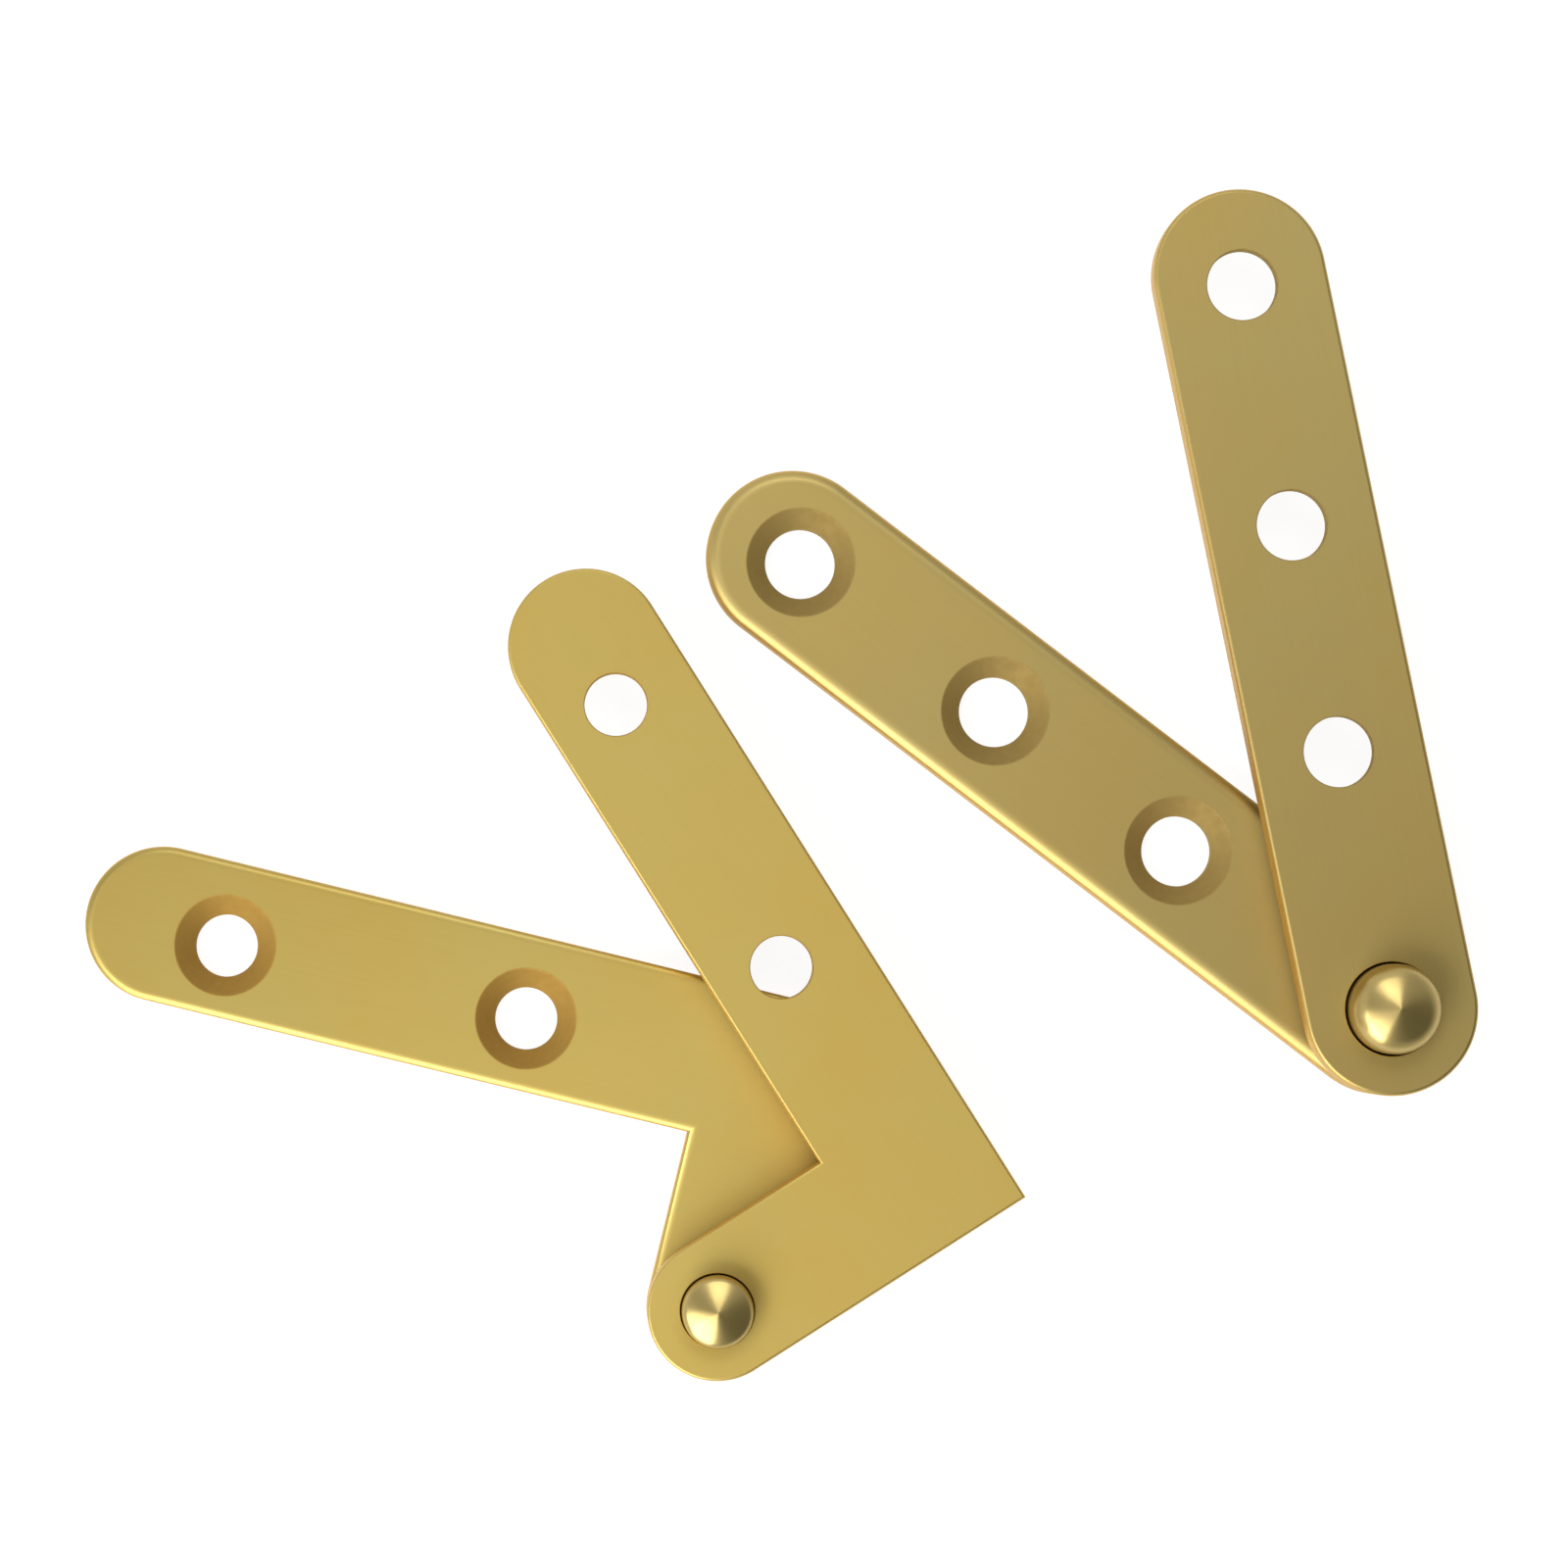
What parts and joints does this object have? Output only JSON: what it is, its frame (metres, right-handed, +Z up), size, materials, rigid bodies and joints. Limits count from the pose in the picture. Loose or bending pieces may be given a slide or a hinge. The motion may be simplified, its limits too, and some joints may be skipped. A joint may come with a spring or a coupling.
{
  "type": "pair of pivot hinges",
  "caption": "Brass pivot hinges, straight and cranked, whose flat leaves turn one over the other on a domed pin and take countersunk screws.",
  "frame": {"origin": "under the middle of the whole pair's bounding box, on the surface that it lies on", "axes": "+Z up, along both pins, out of their domed ends; +X along the pair's longest side, from the cranked hinge towards the straight one"},
  "size_m": [0.096, 0.0822, 0.0093],
  "materials": {
    "satin_brass": "satin, finely brushed",
    "polished_brass": "turned and polished",
    "washer_brass": "rolled sheet"
  },
  "bodies": {
    "held_leaves": {"straight_lower_leaf": "satin_brass", "straight_pivot_pin": "polished_brass", "straight_washer": "washer_brass", "cranked_upper_leaf": "satin_brass"},
    "straight_swing": {"straight_upper_leaf": "satin_brass"},
    "cranked_swing": {"cranked_lower_leaf": "satin_brass", "cranked_pivot_pin": "polished_brass", "cranked_washer": "washer_brass"}
  },
  "joints": [
    {"name": "straight_pivot", "type": "hinge", "parent": "held_leaves", "child": "straight_swing", "pos_m": [0.04199, -0.01568, 0.003], "axis": [0, 0, 1], "range_deg": [-138.8, 41.2]},
    {"name": "cranked_pivot", "type": "hinge", "parent": "held_leaves", "child": "cranked_swing", "pos_m": [-0.00451, -0.03628, 0.003], "axis": [0, 0, 1], "range_deg": [-44, 136]}
  ]
}
